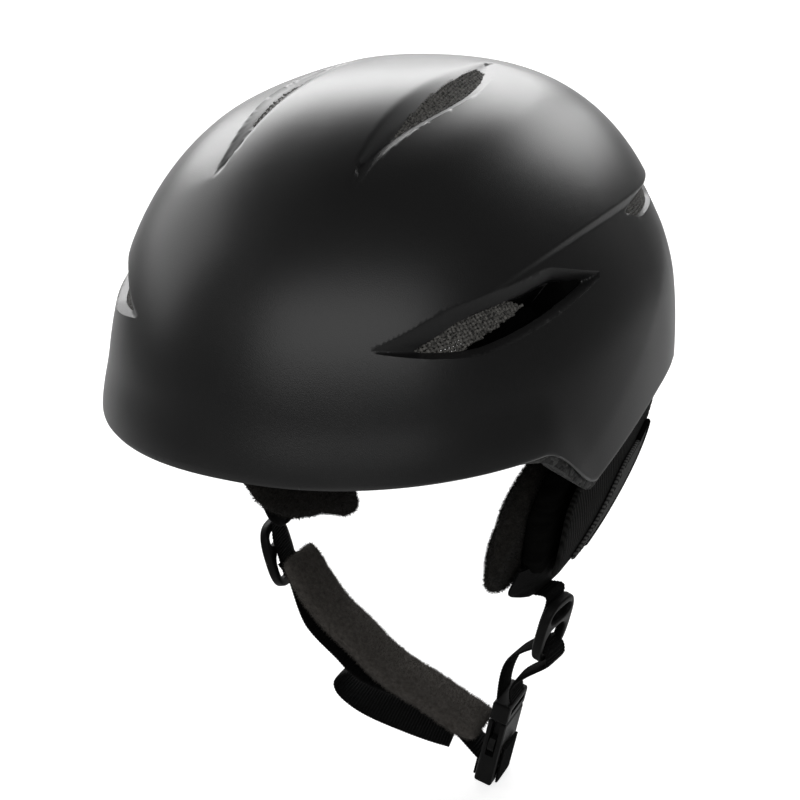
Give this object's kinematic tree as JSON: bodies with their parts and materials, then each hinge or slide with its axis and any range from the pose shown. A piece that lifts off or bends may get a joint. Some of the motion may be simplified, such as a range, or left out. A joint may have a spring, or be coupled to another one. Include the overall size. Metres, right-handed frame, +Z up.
{
  "type": "ski helmet",
  "caption": "Snow-sports helmet with a vented moulded shell, foam liner, soft ear flaps, padded chin strap with a side-release buckle and a dial size adjuster at the nape",
  "frame": {"origin": "middle of the head space on the mid-plane, a little below the brow edge", "axes": "+Z up to the crown, -Y to the front, +X to the wearer's left"},
  "size_m": [0.2242, 0.2845, 0.3349],
  "materials": {
    "shell_black": "matte black moulded shell",
    "foam_dark": "dark mottled bead foam",
    "mesh_grey": "grey woven mesh",
    "fleece_grey": "dark grey short-pile fleece",
    "cloth_ribbed": "dark ribbed cloth",
    "gusset_black": "black pleated stretch cloth",
    "webbing_black": "black ribbed webbing",
    "plastic_black": "black moulded plastic"
  },
  "bodies": {
    "helmet": {"outer_shell": "shell_black", "eps_liner": "foam_dark", "side_vent_mesh_left": "mesh_grey", "side_vent_mesh_right": "mesh_grey", "rear_vent_mesh_left": "mesh_grey", "rear_vent_mesh_right": "mesh_grey", "top_vent_mesh_left": "mesh_grey", "top_vent_mesh_right": "mesh_grey", "brow_pad": "fleece_grey", "temple_pad_left": "fleece_grey", "temple_pad_right": "fleece_grey", "back_pad": "fleece_grey", "crown_pad": "fleece_grey", "ear_cover_left": "cloth_ribbed", "ear_cover_right": "cloth_ribbed", "ear_pocket_left": "cloth_ribbed", "ear_pocket_right": "cloth_ribbed", "ear_gusset_left": "gusset_black", "ear_gusset_right": "gusset_black", "ear_pad_left": "fleece_grey", "ear_pad_right": "fleece_grey", "ear_clip_left": "plastic_black", "ear_clip_right": "plastic_black", "upper_web_left": "webbing_black", "upper_web_right": "webbing_black", "dial_housing": "plastic_black", "cradle_hanger_left": "plastic_black", "cradle_hanger_right": "plastic_black", "nape_pad": "fleece_grey"},
    "size_dial": {"dial_knob": "plastic_black", "dial_pinion": "plastic_black"},
    "band_left": {"fit_band_left": "plastic_black"},
    "band_right": {"fit_band_right": "plastic_black"},
    "chin_strap": {"strap_slider_left": "plastic_black", "strap_slider_right": "plastic_black", "chin_web": "webbing_black", "chin_pad": "fleece_grey", "tail_loop": "webbing_black", "lower_web_left": "webbing_black", "web_fold": "webbing_black", "buckle_socket": "plastic_black"},
    "tongue": {"buckle_tongue": "plastic_black"},
    "prong_front": {"buckle_prong_front": "plastic_black"},
    "prong_rear": {"buckle_prong_rear": "plastic_black"}
  },
  "joints": [
    {"name": "dial_turn", "type": "hinge", "parent": "helmet", "child": "size_dial", "pos_m": [0, 0.0965, -0.016], "axis": [0, -1, 0], "range_deg": [0, 80]},
    {"name": "band_left_slide", "type": "slide", "parent": "helmet", "child": "band_left", "axis": [-1, 0, 0], "range_m": [0, 0.007]},
    {"name": "band_right_slide", "type": "slide", "parent": "helmet", "child": "band_right", "axis": [1, 0, 0], "range_m": [0, 0.007]},
    {"name": "strap_swing", "type": "hinge", "parent": "helmet", "child": "chin_strap", "pos_m": [0, -0.012, -0.068], "axis": [1, 0, 0], "range_deg": [-20, 20], "deforming": ["upper_web_left", "upper_web_right"]},
    {"name": "tongue_slide", "type": "slide", "parent": "chin_strap", "child": "tongue", "axis": [0.213, 0, 0.977], "range_m": [0, 0.018], "deforming": ["lower_web_left"]},
    {"name": "prong_front_squeeze", "type": "hinge", "parent": "tongue", "child": "prong_front", "pos_m": [0.05081, -0.0192, -0.14006], "axis": [0.977, 0, -0.213], "range_deg": [0, 8], "stiffness_Nm_per_rad": 0.05},
    {"name": "prong_rear_squeeze", "type": "hinge", "parent": "tongue", "child": "prong_rear", "pos_m": [0.05081, -0.0048, -0.14006], "axis": [-0.977, 0, 0.213], "range_deg": [0, 8], "stiffness_Nm_per_rad": 0.05}
  ],
  "couplings": [
    {"joint": "band_left_slide", "follows": "dial_turn", "m_per_rad": 0.005},
    {"joint": "band_right_slide", "follows": "dial_turn", "m_per_rad": 0.005},
    {"joint": "prong_rear_squeeze", "follows": "prong_front_squeeze", "ratio": 1}
  ]
}
